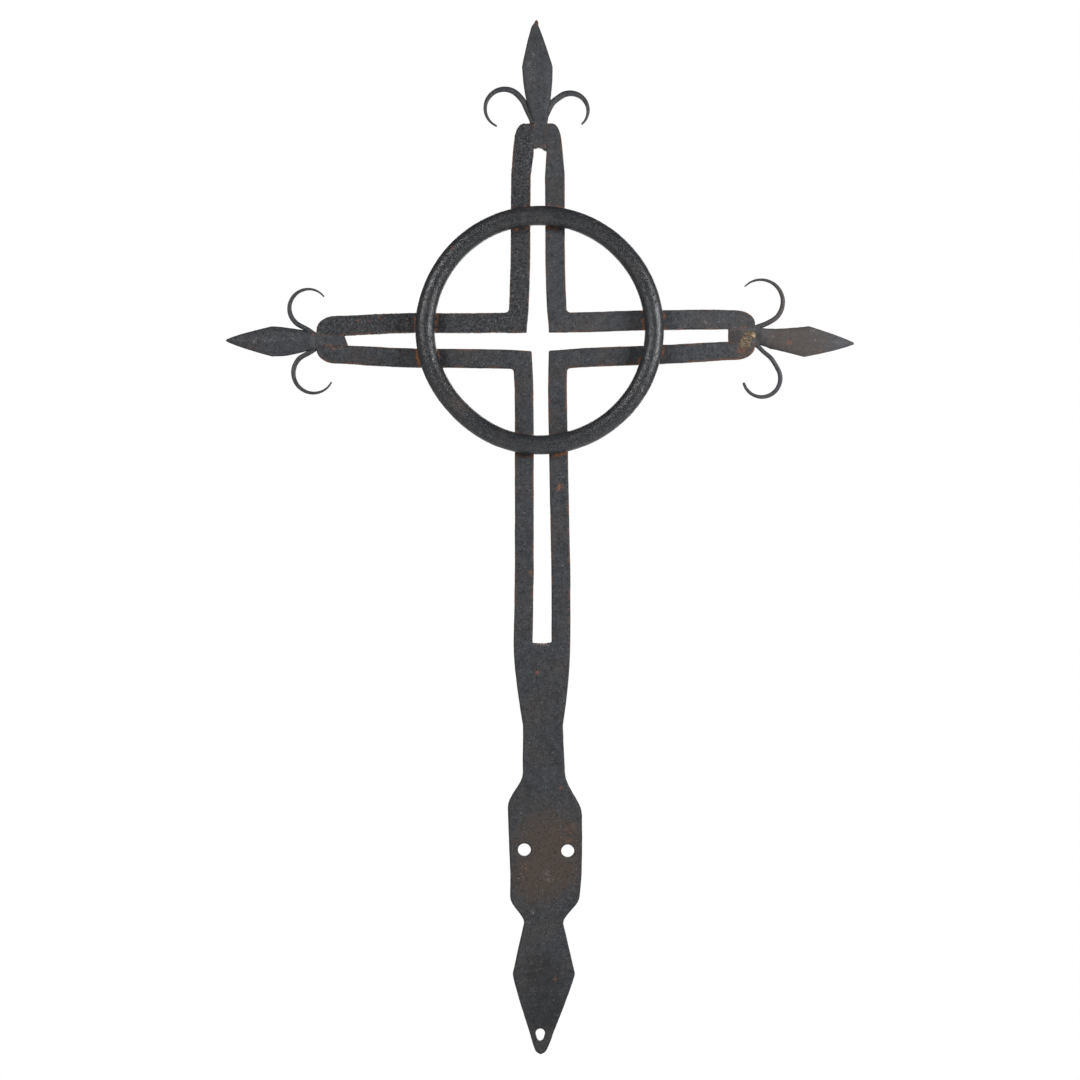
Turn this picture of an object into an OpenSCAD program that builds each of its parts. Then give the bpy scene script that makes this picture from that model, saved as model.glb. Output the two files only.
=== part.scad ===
// Wrought iron cross, hand forged, with a ring laid on its crossing.
// Millimetres. The origin is midway between the two fixing holes, on the flat back.
// The front faces -Y and the cross stands along +Z.

/* [Flat bar] */
// Width of the flat bar that the top and side arms are made of
bar_w = 14.1; // [12:0.1:18]
// Width of each leg of the shaft and of the side arms' lower bars
leg_w = 13.6; // [12:0.1:18]
// Thickness of the bars and of the tang
bar_t = 6; // [4:0.5:10]
// Radius hammered into the corners where a bar turns from one arm to the next
bend_r = 3; // [1:0.5:5]

/* [Arms] */
// Height of the side arms' centre line above the fixing holes
arm_z = 375.5; // [320:0.5:450]
// Sideways place of the crossing
cross_x = -4.5; // [-10:0.5:10]
// Length of the top arm from the crossing to its shoulders
top_arm_l = 159.8; // [130:0.2:200]
// Length of the left arm from the crossing to its shoulders
left_arm_l = 164.5; // [130:0.5:200]
// Length of the right arm from the crossing to its shoulders
right_arm_l = 158.4; // [130:0.2:200]
// How far the right arm has been knocked upwards at its end
right_arm_rise = 4; // [0:0.2:8]
// Width of the slit in the top arm
top_slit_w = 11; // [8:0.2:14]
// Width of the slit in the left arm
left_slit_w = 12.1; // [8:0.1:14]
// Width of the slit in the right arm
right_slit_w = 12.1; // [8:0.1:14]

/* [Shaft and tang] */
// Width of the shaft's slit near the crossing
shaft_slit_top_w = 10.8; // [8:0.2:14]
// Width of the shaft's slit at its lower end
shaft_slit_foot_w = 14.4; // [10:0.2:18]
// Height of the slit's lower end above the fixing holes
slit_foot_z = 152.4; // [130:0.2:200]
// Width of the waist above the fixing plate
waist_w = 29; // [22:0.5:36]
// Width of the fixing plate
plate_w = 54.2; // [50:0.2:70]
// Height of the fixing plate's top above the holes
plate_up = 29; // [22:0.5:36]
// Depth of the fixing plate's foot below the holes
plate_down = 34; // [24:0.5:42]
// How much higher the plate's left shoulder stands than its right
plate_skew = 6; // [0:0.5:10]
// Width of the neck under the fixing plate
foot_neck_w = 28.4; // [20:0.2:36]
// Width across the shoulders of the pointed foot
foot_w = 45.6; // [38:0.2:56]
// Depth of the foot's shoulders below the holes
foot_shoulder_down = 91; // [80:0.5:105]
// Depth of the foot's point below the holes
foot_tip_down = 149.8; // [130:0.2:180]

/* [Holes] */
// Distance between the two fixing holes
hole_gap = 32; // [28:0.5:36]
// Diameter of each fixing hole
hole_d = 10; // [6:0.5:12]
// How far each hole was punched off the common level, left up and right down
hole_step = 0.4; // [0:0.1:0.4]
// Width of the teardrop hole in the foot
nail_hole_w = 6.8; // [4:0.2:8]
// Height of the teardrop hole
nail_hole_h = 9.4; // [8:0.2:12]
// Width of the small round at the teardrop hole's foot
nail_hole_foot_w = 3.6; // [1:0.2:4]
// Height of the teardrop hole's round end above the foot's point
nail_hole_up = 15.2; // [13:0.2:22]
// How far the teardrop hole was punched to the left of the foot's middle
nail_hole_off = 0.9; // [0:0.1:2]

/* [Ring] */
// Radius of the ring to the middle of its bar
ring_r = 84; // [70:0.5:95]
// Diameter of the round bar of the ring
ring_bar_d = 14.4; // [10:0.2:18]
// Height of the ring's centre above the arms' centre line
ring_up = 6.9; // [0:0.1:12]
// How far the ring's centre lies to the left of the crossing
ring_off = 0.2; // [0:0.1:3]
// Depth of the flat forged on the ring's back, where it is seated on the bars
ring_land = 0.6; // [0.2:0.1:1.5]

/* [Spearheads] */
// Length of the top spearhead
top_spear_l = 77; // [60:1:95]
// Width of the top spearhead
top_spear_w = 22.8; // [18:0.2:30]
// Length of the left spearhead
left_spear_l = 67.2; // [55:0.2:85]
// Width of the left spearhead
left_spear_w = 22.6; // [18:0.2:30]
// Length of the right spearhead
right_spear_l = 73.4; // [60:0.2:90]
// Width of the right spearhead
right_spear_w = 23; // [18:0.2:30]
// Thickness of a spearhead's stem at the shoulders
stem_t = 8.6; // [6:0.2:12]
// Thickness of the blade along its ridge
blade_t = 7; // [5:0.2:9]

/* [Tongues] */
// Width of the top spearhead's tongue, which the bar ends hold
top_tongue_w = 9.6; // [7:0.2:12]
// Width of the left spearhead's tongue
left_tongue_w = 7.8; // [6:0.2:12]
// Width of the right spearhead's tongue
right_tongue_w = 9.6; // [7:0.2:12]
// Length of the top spearhead's tongue
top_tongue_l = 18.6; // [14:0.2:26]
// Length of the left spearhead's tongue
left_tongue_l = 21.5; // [14:0.5:26]
// Length of the right spearhead's tongue
right_tongue_l = 19.4; // [14:0.2:26]

/* [Scrolls] */
// Thickness of the top scrolls at their roots
top_scroll_d = 4.7; // [3:0.1:6]
// Thickness of the side scrolls at their roots
side_scroll_d = 3.8; // [2.5:0.1:5]
// Thickness of a scroll at its tip
scroll_tip_d = 1.5; // [1:0.1:2.5]

/* [Repair] */
// Width of the drop of brass run over the right arm's joint
brass_w = 10.4; // [6:0.2:12]
// Height of the drop of brass
brass_t = 1; // [0.6:0.1:2]
// How far the drop stays back from the shoulders of the bars
brass_back = 0.4; // [0:0.1:2]
// How far the drop's middle lies over from the lower bar's inner edge
brass_over = 2; // [0:0.2:4]

/* [Hidden] */

IRON = "#43464b";
WORN_IRON = "#55514d";
RING_IRON = "#393b3f";
BRASS = "#c39a4a";

// Half of the open square at the crossing, where the slits of two arms meet
cross_half = 8;
// Stations along the straight middle of an arm
arm_steps = 8;
// Points round a rounded shoulder
shoulder_steps = 7;
cut_past = 1;
// Length over which a bar narrows towards its shoulder
taper_l = 34;

// ---- curves -------------------------------------------------------------

function lerp(a, b, t) = a + (b - a)*t;

function ease(t) = t*t*(3 - 2*t);

function reversed(list) = [for (i = [len(list) - 1:-1:0]) list[i]];

// n even steps from a towards b, without b itself.
function steps_between(a, b, n) = [for (i = [0:n - 1]) lerp(a, b, i/n)];

// A smooth curve through p1 and p2, with p0 and p3 as its outer neighbours.
function curve_point(p0, p1, p2, p3, t) =
    0.5*(2*p1 + (p2 - p0)*t + (2*p0 - 5*p1 + 4*p2 - p3)*t*t
         + (3*p1 - p0 - 3*p2 + p3)*t*t*t);

// The curve from the first to the last of a list of points.
function smooth_line(pts, steps) =
    let (last = len(pts) - 1)
    [for (i = [0:last - 1], k = [0:steps - 1])
        curve_point(pts[max(i - 1, 0)], pts[i], pts[i + 1], pts[min(i + 2, last)],
                    k/steps),
     pts[last]];

// ---- arms ---------------------------------------------------------------
// An arm is a pair of bars on either side of a slit. It is
// [direction, across, length, drift, slit shift, slit width, shoulder, hold], where
// drift, slit shift and slit width are tables by distance from the crossing, a shoulder
// is [length, width, taper of the bar before it], and the bars hold a tongue from the
// distance called hold outwards.

top_hold = top_arm_l - top_tongue_l - 3;
left_hold = left_arm_l - left_tongue_l - 2;
right_hold = right_arm_l - right_tongue_l - 3;

top_arm = [[0, 1], [1, 0], top_arm_l,
    [[0, -1.6], [top_arm_l, -1.5]],
    [[top_hold - 12, 0], [top_hold, 1.6]],
    [[6, 17], [14, 15.2], [30, top_slit_w + 2], [60, top_slit_w + 0.4],
     [top_hold - 18, top_slit_w], [top_hold, top_tongue_w]],
    [12, 6, 2.2], top_hold];

left_arm = [[-1, 0], [0, 1], left_arm_l,
    [[26, -0.1], [60, 0], [left_hold - 18, 0.3], [left_hold, 0.6]],
    [[8, -0.7], [20, 0], [left_hold - 12, 0], [left_hold, -0.4]],
    [[8, 13.9], [30, left_slit_w + 0.7], [56, left_slit_w], [left_hold - 44, left_slit_w],
     [left_hold - 18, left_slit_w - 2.4], [left_hold, left_tongue_w]],
    [13, 9.6, 0.8], left_hold];

right_arm = [[1, 0], [0, 1], right_arm_l,
    [[20, 0.1], [53, right_arm_rise*0.35], [right_hold, right_arm_rise]],
    [[8, -0.6], [20, 0]],
    [[6, 13.9], [18, right_slit_w + 1], [36, right_slit_w], [75, right_slit_w],
     [right_hold - 34, right_slit_w - 1], [right_hold, right_tongue_w]],
    [13, 9.4, 1], right_hold];

// The shaft and tang lean a little, as hammered: sideways place by height.
upright_lean = [[-foot_tip_down, -3.9], [-foot_shoulder_down, -1.7], [-54, -1.8],
    [-18, 0], [10, -0.4], [84, -2.2], [slit_foot_z, -3], [200, -2.5],
    [arm_z - 44, -3.8], [arm_z - cross_half, -4.3]];

// The same lean, as seen from the crossing downwards.
shaft_arm = [[0, -1], [1, 0], arm_z - slit_foot_z,
    [for (p = reversed(upright_lean)) [arm_z - p[0], p[1] - cross_x]],
    [[0, 0]],
    [[6, 13], [16, shaft_slit_top_w + 0.8], [44, shaft_slit_top_w],
     [arm_z - slit_foot_z - 20, shaft_slit_foot_w - 0.4],
     [arm_z - slit_foot_z, shaft_slit_foot_w]],
    [0, 0, 0], arm_z - slit_foot_z];

function arm_point(a, s, v) = [cross_x, arm_z] + s*a[0] + v*a[1];

// Middle of the slit, and each bar's inner and outer edge, across the arm at s.
function slit_middle(a, s) = lookup(s, a[3]) + lookup(s, a[4]);

function inner_edge(a, s, side) = slit_middle(a, s) + side*lookup(s, a[5])/2;

// How far the outer edge is drawn in at s: a slight taper of the bar's end, and the
// quarter ellipse of its shoulder.
function shoulder_cut(a, s) =
    let (r = a[6], t = r[0] > 0 ? max(0, 1 - (a[2] - s)/r[0]) : 0)
    r[1]*(1 - sqrt(1 - t*t)) + r[2]*ease(max(0, 1 - (a[2] - s)/taper_l));

function outer_edge(a, s, side, w) =
    lookup(s, a[3]) + side*(lookup(s, a[5])/2 + w - shoulder_cut(a, s));

// Stations of a bar: even as far as the tongue, and closer round the shoulder.
function arm_stations(a, start) =
    let (turn = a[2] - a[6][0])
    [for (i = [0:arm_steps]) lerp(start, a[7], i/arm_steps),
     if (a[6][0] > 0)
        for (i = [0:shoulder_steps]) turn + a[6][0]*sin(90*i/shoulder_steps)];

// A flat forging: a front view outline given the bar's thickness, back at y = 0.
module flat_forging() {
    rotate([90, 0, 0]) linear_extrude(bar_t) children();
}

// One bar of an arm, from where it leaves the crossing to its end.
module arm_bar(a, side, start, w) {
    stations = arm_stations(a, start);
    flat_forging() polygon(concat(
        [for (s = stations) arm_point(a, s, inner_edge(a, s, side))],
        [for (s = reversed(stations)) arm_point(a, s, outer_edge(a, s, side, w))]));
}

// Where the bar of one arm starts: at the inner edge of the bar that it joins.
function start_at(neighbour, side) = abs(inner_edge(neighbour, cross_half, side));

// The small fillet between two bars, outside the bend. sx and sz say which quarter.
module bend_fillet(upright, level, sx, sz, w) {
    reach = cross_half + w + bend_r;
    corner = [cross_x + outer_edge(upright, reach, sx, w),
              arm_z + outer_edge(level, reach, sz, w)];
    middle = corner + bend_r*[sx, sz];
    flat_forging() polygon(concat([corner - cut_past*[sx, sz]],
        [for (i = [0:5])
            middle - bend_r*[sx*cos(18*i), sz*sin(18*i)]]));
}

// A bar that runs along a side arm and turns into the upright arm.
module bent_bar(upright, level, sx, sz, w) {
    arm_bar(level, sz, start_at(upright, sx), w);
    arm_bar(upright, sx, start_at(level, sz), w);
    bend_fillet(upright, level, sx, sz, w);
}

module upper_left_bar() {
    color(IRON) bent_bar(top_arm, left_arm, -1, 1, bar_w);
}

module upper_right_bar() {
    color(IRON) bent_bar(top_arm, right_arm, 1, 1, bar_w);
}

// ---- shaft and tang -----------------------------------------------------

leg_foot_half = shaft_slit_foot_w/2 + leg_w;
// Heights between which the waist is straight
waist_top_z = 92;
waist_foot_z = 57;
// The waist widens a little downwards, and the fixing plate narrows
waist_spread = 0.9;
plate_draw = 1.6;
// Depth of the neck below the holes, and half width of the foot's blunt point
foot_neck_down = 53.5;
foot_tip_r = 2.6;

// Height of the fixing plate's shoulder on its left (-1) or right (1) side.
function plate_top(side) = plate_up - side*plate_skew/2;

// Half width of the tang by height, for either side.
function tang_half(z, side) =
    z > waist_top_z ?
        leg_foot_half - (leg_foot_half - waist_w/2)
            *pow((slit_foot_z - z)/(slit_foot_z - waist_top_z), 1.6)
    : z > waist_foot_z ? lerp(waist_w/2, waist_w/2 + waist_spread,
            ease((waist_top_z - z)/(waist_top_z - waist_foot_z)))
    : z > plate_top(side) ? lerp(waist_w/2 + waist_spread, plate_w/2,
            ease((waist_foot_z - z)/(waist_foot_z - plate_top(side))))
    : z > -plate_down ? lerp(plate_w/2, plate_w/2 - plate_draw,
            pow((plate_top(side) - z)/(plate_top(side) + plate_down), 1.5))
    : z > -foot_neck_down ? lerp(plate_w/2 - plate_draw, foot_neck_w/2,
            ease((-plate_down - z)/(foot_neck_down - plate_down)))
    : z > -foot_shoulder_down ? lerp(foot_neck_w/2, foot_w/2,
            (-foot_neck_down - z)/(foot_shoulder_down - foot_neck_down))
    : lerp(foot_w/2, foot_tip_r,
            pow((-foot_shoulder_down - z)/(foot_tip_down - foot_shoulder_down), 1.12));

// Heights at which the outline of the tang is taken, from the slit down to the point.
function tang_heights(side) = concat(
    steps_between(slit_foot_z, waist_top_z, 6),
    steps_between(waist_top_z, waist_foot_z, 3),
    steps_between(waist_foot_z, plate_top(side), 8),
    steps_between(plate_top(side), -plate_down, 4),
    steps_between(-plate_down, -foot_neck_down, 7),
    [-foot_neck_down, -foot_shoulder_down],
    steps_between(-foot_shoulder_down - 6, -foot_tip_down + 3, 6),
    [-foot_tip_down + 1]);

function tang_side(side) =
    [for (z = tang_heights(side)) [lookup(z, upright_lean) + side*tang_half(z, side), z]];

module tang_plate() {
    flat_forging() polygon(concat(tang_side(-1),
        [[lookup(-foot_tip_down, upright_lean), -foot_tip_down]],
        reversed(tang_side(1))));
}

// A round hole drawn out to a smaller round at its foot.
module nail_hole() {
    r = nail_hole_w/2;
    foot_r = nail_hole_foot_w/2;
    drop = nail_hole_h - r - foot_r;
    lean = asin((r - foot_r)/drop);
    height = nail_hole_up - foot_tip_down;
    place = lookup(height, upright_lean) - nail_hole_off;
    translate([place, cut_past, height])
        rotate([90, 0, 0]) linear_extrude(bar_t + 2*cut_past)
            polygon(concat(
                [for (i = [0:16]) let (angle = lerp(-lean, 180 + lean, i/16))
                    r*[cos(angle), sin(angle)]],
                [for (i = [0:8]) let (angle = lerp(180 + lean, 360 - lean, i/8))
                    [0, -drop] + foot_r*[cos(angle), sin(angle)]]));
}

module fixing_hole(side) {
    translate([side*hole_gap/2, cut_past, -side*hole_step])
        rotate([90, 0, 0]) cylinder(h = bar_t + 2*cut_past, d = hole_d, $fn = 48);
}

// The tang is slit up its middle, and its two legs turn out into the side arms.
module tang_fork() {
    color(WORN_IRON) difference() {
        union() {
            bent_bar(shaft_arm, left_arm, -1, -1, leg_w);
            bent_bar(shaft_arm, right_arm, 1, -1, leg_w);
            tang_plate();
        }
        fixing_hole(-1);
        fixing_hole(1);
        nail_hole();
    }
}

// ---- ring ---------------------------------------------------------------

module ring() {
    sunk = ring_bar_d/2 - ring_land;
    color(RING_IRON) translate([cross_x - ring_off, -bar_t, arm_z + ring_up])
        rotate([90, 0, 0]) rotate_extrude($fn = 96) translate([ring_r, 0])
            intersection() {
                translate([0, sunk]) circle(d = ring_bar_d, $fn = 40);
                translate([-ring_bar_d, 0]) square([2*ring_bar_d, 2*ring_bar_d]);
            }
}

// ---- spearheads ---------------------------------------------------------
// A spearhead is [arm, length, width, distance to its widest place, half width at
// the shoulders, flare, bend, slant of the tongue's end, slant of the blade, length
// of the tongue]. Distances are measured outwards from the shoulders of its arm, and
// the bend is its table of drift.

tip_half = 0.6;
tip_t = 2;
sides = 16;
// Distance over which the stem swells out of the tongue, and where the blade begins
swell_l = 6;
blade_start = 8;

function spear_half(p, d) =
    let (wide = p[3], root = p[4], blade = p[2]/2, t = d/wide)
    d <= 0 ? lookup(p[0][2], p[0][5])/2
    : d < wide ? lerp(root, blade, p[5] > 1 ? 1 - pow(1 - t, p[5]) : pow(t, 1/p[5]))
    : max(tip_half, blade*pow((p[1] - d)/(p[1] - wide), 0.76));

function spear_middle(p, d) =
    lookup(d, p[6]) + slit_middle(p[0], p[0][2] + min(d, 0));

// Thickness of the spearhead at d.
function spear_t(p, d) = d <= 0 ? bar_t
    : d < swell_l ? lerp(bar_t, stem_t, ease(d/swell_l))
    : d < p[3] ? lerp(stem_t, blade_t, (d - swell_l)/(p[3] - swell_l))
    : lerp(blade_t, tip_t, (d - p[3])/(p[1] - p[3]));

// How far the middle of its thickness lies in front of the flat back.
function spear_front(d) = lerp(bar_t/2, stem_t/2, ease(min(1, max(0, d)/swell_l)));

// Squareness of its section: high for a flat bar, low for a ridged blade.
function spear_square(p, d) = d <= 0 ? 12
    : d < blade_start ? lerp(5, 2.6, d/blade_start)
    : d < p[3] ? lerp(2.6, 1.45, (d - blade_start)/(p[3] - blade_start)) : 1.45;

function signed_pow(x, k) = sign(x)*pow(abs(x), k);

// One ring of points: a rounded rectangle that becomes a ridged lens in the blade.
function spear_ring(p, d, slant) =
    let (half = spear_half(p, d), k = 2/spear_square(p, d), t = spear_t(p, d)/2)
    [for (i = [0:sides - 1])
        let (v = half*signed_pow(cos(360*i/sides), k),
             y = t*signed_pow(sin(360*i/sides), k),
             q = arm_point(p[0], p[0][2] + d + slant*v, spear_middle(p, d) + v))
        [q[0], -spear_front(d) - y, q[1]]];

function spear_stations(p) = concat(
    [-p[9], -p[9]/2, 0, 1.5, 4],
    steps_between(blade_start, p[3], 6),
    steps_between(p[3], p[1] - 2, 8),
    [p[1] - 2, p[1] - 0.6]);

// Whether across lies to the left of an arm's direction or, when below 0, to the right.
function hand(a) = a[0][0]*a[1][1] - a[0][1]*a[1][0];

// Closes rings of points into a solid, faces outwards on an arm of either hand.
module skin(rings, a) {
    n = len(rings[0]);
    last = len(rings) - 1;
    walls = [for (i = [0:last - 1], k = [0:n - 1])
        let (here = i*n + k, next = i*n + (k + 1)%n) [here, next, next + n, here + n]];
    caps = [[for (k = [n - 1:-1:0]) k], [for (k = [0:n - 1]) last*n + k]];
    faces = concat(walls, caps);
    polyhedron([for (r = rings) each r],
               hand(a) < 0 ? faces : [for (f = faces) reversed(f)], convexity = 6);
}

// The tongue's end and the blade may be cut at a slant; the stem never is.
function spear_slant(p, d) =
    d < -p[9]/2 ? p[7]
    : d > blade_start ? p[8]*(p[1] - d)/(p[1] - blade_start) : 0;

module spearhead(p) {
    skin([for (d = spear_stations(p)) spear_ring(p, d, spear_slant(p, d))], p[0]);
}

top_spear = [top_arm, top_spear_l, top_spear_w, 42.4, 5.2, 1.7,
    [[0, 0], [10, -0.7], [20, -1.4], [42, -2], [60, -3], [77, -3.9]], -0.25, 0,
    top_tongue_l];
left_spear = [left_arm, left_spear_l, left_spear_w, 33.2, 5.2, 1.7,
    [[0, 0], [20, -0.9], [67, 0.1]], 0.4, 0, left_tongue_l];
right_spear = [right_arm, right_spear_l, right_spear_w, 38.3, 6, 0.72,
    [[0, 0], [12, -2.4], [36, -4.4], [73, -6]], 0, 0.3, right_tongue_l];

module top_spearhead() {
    color(IRON) spearhead(top_spear);
}

module left_spearhead() {
    color(IRON) spearhead(left_spear);
}

module right_spearhead() {
    color(WORN_IRON) spearhead(right_spear);
}

// ---- scrolls ------------------------------------------------------------
// A scroll is [spearhead, side, root, free points, centre, radius, angle where the
// round part starts, angle at the tip, root thickness]. The root's points are
// [outwards from the shoulders, out from the stem's edge], the others are [outwards
// from the shoulders, across from the arm's middle], and angles turn from the first of
// these towards the second.

wire_sides = 10;
arc_steps = 12;
// How far the wires lie in front of the middle of the bars
wire_front = 0.4;

// The root lies along the side of the stem.
function stem_edge(s, d) = spear_middle(s[0], d) + s[1]*spear_half(s[0], d);

function scroll_root(s) = [for (q = s[2]) [q[0], stem_edge(s, q[0]) + s[1]*q[1]]];

// The rest is free: a lead-in, and then the round part.
function scroll_free(s) =
    let (a = s[0][0], middle = [0, lookup(a[2], a[3])])
    [for (p = concat(s[3], [for (i = [0:arc_steps])
        let (angle = lerp(s[6], s[7], i/arc_steps))
        s[4] + s[5]*[cos(angle), sin(angle)]])) middle + p];

// The wire keeps its thickness near the root and thins towards the tip.
function scroll_half(s, t) = lerp(s[8], scroll_tip_d, pow(t, 1.25))/2;

function scroll_ring(s, line, i) =
    let (last = len(line) - 1,
         ahead = line[min(i + 1, last)], behind = line[max(i - 1, 0)],
         along = (ahead - behind)/norm(ahead - behind),
         normal = [-along[1], along[0]], half = scroll_half(s, i/last))
    [for (k = [0:wire_sides - 1])
        let (q = line[i] + normal*half*cos(360*k/wire_sides),
             point = arm_point(s[0][0], s[0][0][2] + q[0], q[1]))
        [point[0], -bar_t/2 - wire_front - half*sin(360*k/wire_sides), point[1]]];

module scroll(s) {
    line = smooth_line(concat(scroll_root(s), scroll_free(s)), 2);
    color(IRON) difference() {
        skin([for (i = [0:len(line) - 1]) scroll_ring(s, line, i)], s[0][0]);
        spearhead(s[0]);
    }
}

top_left = [top_spear, -1, [[3, 0], [7.4, 0.6], [11.8, 1.2]], [[15.9, -10.2]],
    [11.1, -24.5], 14, 46, -156, top_scroll_d];
top_right = [top_spear, 1, [[3, -2.4], [7.4, -1.5], [11.8, -0.3]], [[16.2, 11.3]],
    [9.6, 24], 12.7, -28, 140, top_scroll_d];
left_upper = [left_spear, 1, [[2.4, -0.5], [6.5, 1]], [],
    [6.1, 23.3], 14.2, -58, 142, side_scroll_d];
left_lower = [left_spear, -1, [[2.4, 1.4], [6, 1.6]], [],
    [2.5, -23.9], 14.9, 50, -152, side_scroll_d];
right_upper = [right_spear, 1, [[2.2, 0.3], [8.8, 2.8]], [],
    [5, 24], 15.8, -50, 136, side_scroll_d];
right_lower = [right_spear, -1, [[1.8, 1.3]], [[6.6, -12.1], [12.2, -16.8]],
    [5.2, -31.6], 13.7, 30, -165, side_scroll_d];

module top_left_scroll() scroll(top_left);
module top_right_scroll() scroll(top_right);
module left_upper_scroll() scroll(left_upper);
module left_lower_scroll() scroll(left_lower);
module right_upper_scroll() scroll(right_upper);
module right_lower_scroll() scroll(right_lower);

// ---- repair -------------------------------------------------------------

// A low drop of brass over the joint of the right spearhead's tongue.
module brass_repair() {
    place = arm_point(right_arm, right_arm_l - brass_w/2 - brass_back,
                      inner_edge(right_arm, right_arm_l, -1) + brass_over);
    cap_r = (brass_w*brass_w/4 + brass_t*brass_t)/(2*brass_t);
    color(BRASS) translate([place[0], -bar_t, place[1]]) rotate([90, 0, 0])
        rotate_extrude($fn = 48) intersection() {
            translate([0, brass_t - cap_r]) circle(r = cap_r, $fn = 240);
            square([brass_w, brass_t]);
        }
}

upper_left_bar();
upper_right_bar();
tang_fork();
ring();
top_spearhead();
left_spearhead();
right_spearhead();
top_left_scroll();
top_right_scroll();
left_upper_scroll();
left_lower_scroll();
right_upper_scroll();
right_lower_scroll();
brass_repair();
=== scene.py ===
"""The looks of a hand-forged wrought iron cross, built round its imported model.

Lengths are metres in the model's own frame: +X towards the right arm, +Z up the shaft,
and the front towards -Y. Lengths written in millimetres are multiplied by MM.
"""

import math

import bmesh
import bpy
from bpy.props import FloatProperty, FloatVectorProperty, PointerProperty
from bpy.types import Operator, Panel, PropertyGroup
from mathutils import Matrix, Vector


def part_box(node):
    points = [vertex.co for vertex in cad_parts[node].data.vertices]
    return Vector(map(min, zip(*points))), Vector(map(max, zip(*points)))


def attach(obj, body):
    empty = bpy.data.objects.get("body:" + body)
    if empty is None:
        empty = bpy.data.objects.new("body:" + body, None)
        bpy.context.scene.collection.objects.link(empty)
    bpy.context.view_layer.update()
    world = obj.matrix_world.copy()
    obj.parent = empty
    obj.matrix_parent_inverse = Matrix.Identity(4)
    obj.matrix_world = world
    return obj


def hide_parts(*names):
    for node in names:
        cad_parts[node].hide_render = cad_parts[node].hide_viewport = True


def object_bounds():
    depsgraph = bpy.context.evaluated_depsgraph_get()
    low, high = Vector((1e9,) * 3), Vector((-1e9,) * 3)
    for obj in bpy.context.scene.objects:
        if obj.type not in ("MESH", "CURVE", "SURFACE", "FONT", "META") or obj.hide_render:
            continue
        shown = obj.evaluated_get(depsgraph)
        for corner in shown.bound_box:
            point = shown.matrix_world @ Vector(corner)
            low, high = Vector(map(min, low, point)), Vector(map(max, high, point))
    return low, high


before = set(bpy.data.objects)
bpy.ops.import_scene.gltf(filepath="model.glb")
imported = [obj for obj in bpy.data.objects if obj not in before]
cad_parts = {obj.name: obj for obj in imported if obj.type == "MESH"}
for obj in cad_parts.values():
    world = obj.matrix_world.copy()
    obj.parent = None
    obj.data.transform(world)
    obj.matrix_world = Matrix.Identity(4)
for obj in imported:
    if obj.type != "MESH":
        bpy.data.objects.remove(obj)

bl_info = {
    "name": "Wrought Iron Cross",
    "version": (1, 0, 0),
    "blender": (4, 5, 0),
    "location": "View3D > Sidebar > Iron Cross",
    "description": "Forges the pieces of a wrought iron cross over its packed model",
    "category": "Add Mesh",
}

MM = 0.001
CAD_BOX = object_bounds()

UP = Vector((0, 0, 1))
RIGHT = Vector((1, 0, 0))

# Depths along Y, in millimetres, at which the rust beside the ring starts and is full
SEAM_BACK = -4.6
SEAM_FRONT = -5.4
# Heights, in millimetres, at which the rust on the edges starts and is full
EDGE_RUST_STARTS = 120
EDGE_RUST_FULL = 190
# Colour of the heaviest scale, in the pits and at the dark places, and of the painted shade on
# the edges and at the right spearhead's dished neck
DARK_SCALE_AND_SHADE = (0.009, 0.009, 0.01)

# Where the chisel stopped in the tang, across and up, and the lumps of its burr, all in
# millimetres: place across from there, push upwards, push along Y, and reach.
SLIT_FOOT = (-3, 152.4)
BURR = ((-4.2, 0.4, -0.5, 2.6), (0.6, -0.5, -0.7, 3), (4.6, 0.7, -0.4, 2.4))

# The pushes that round the foot's point and the foot of its hole, made on both sides of a
# middle line, in millimetres: middle line, distance from it, height, radius of the patch
# that is held, push away from the middle line, and reach.
POINT_PUSHES = (
    (-3.8, 5.2, -142.5, 1.8, 0.5, 9),
    (-3.9, 3, -149.8, 1.2, -0.7, 2),
    (-4.4, 1.8, -139, 1.1, 0.2, 1.6),
)
# Middle of the teardrop hole, the radius of the patch round it that is stretched, and how
# much wider that makes it, in millimetres
HOLE_MIDDLE = (-4.4, -135.8)
HOLE_RIM = 5.4
HOLE_GROWTH = 0.8

# Steps round the ring and round its bar, before they are subdivided
RING_STEPS = 256
RING_BAR_STEPS = 48
# How far above and below a level stem's middle the corners of its neck lie, in
# millimetres
NECK_HALF = 4.6
# The burnt end of the top tongue: places across it, and how far each is pushed up, in
# millimetres
BURNT_END = ((-8.6, -1.8), (-4.5, 1.3), (-0.4, 0.2))

# The pulls that bring the brass run out of round, in millimetres: place across and up from
# its middle, pull, and reach
BRASS_PULLS = (
    (-4.6, -3.4, (-1.2, 0, -2.6), 3.2),
    (4.2, 2.6, (1, 0, 1.2), 2.6),
    (4.4, -3, (-1.6, 0, 1), 2.2),
    (-4, 3.4, (0.9, 0, -0.8), 2.4),
)

# The soft lights: place from the middle of the cross, width and power in watts
LIGHTS = {
    "left_soft_box": ((-1.4, -1.65, 0.85), 0.5, 32),
    "right_soft_box": ((0.76, -0.48, 0.24), 0.3, 8.5),
    "back_soft_box": ((0.2, 1.7, 0.3), 1.6, 24),
}
# How strongly the room lights the iron
ROOM_LIGHT = 0.12
# How far the floor is below the foot, and the camera below the middle of the cross
FLOOR_DROP = 60 * MM
CAMERA_DROP = 2.2 * MM

# Each arm of the cross points outwards along its first direction. Its second direction is
# the one across it, in which the routes of its scrolls are measured.
ARMS = {
    "top": (UP, RIGHT),
    "left": (-RIGHT, UP),
    "right": (RIGHT, UP),
}

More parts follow.
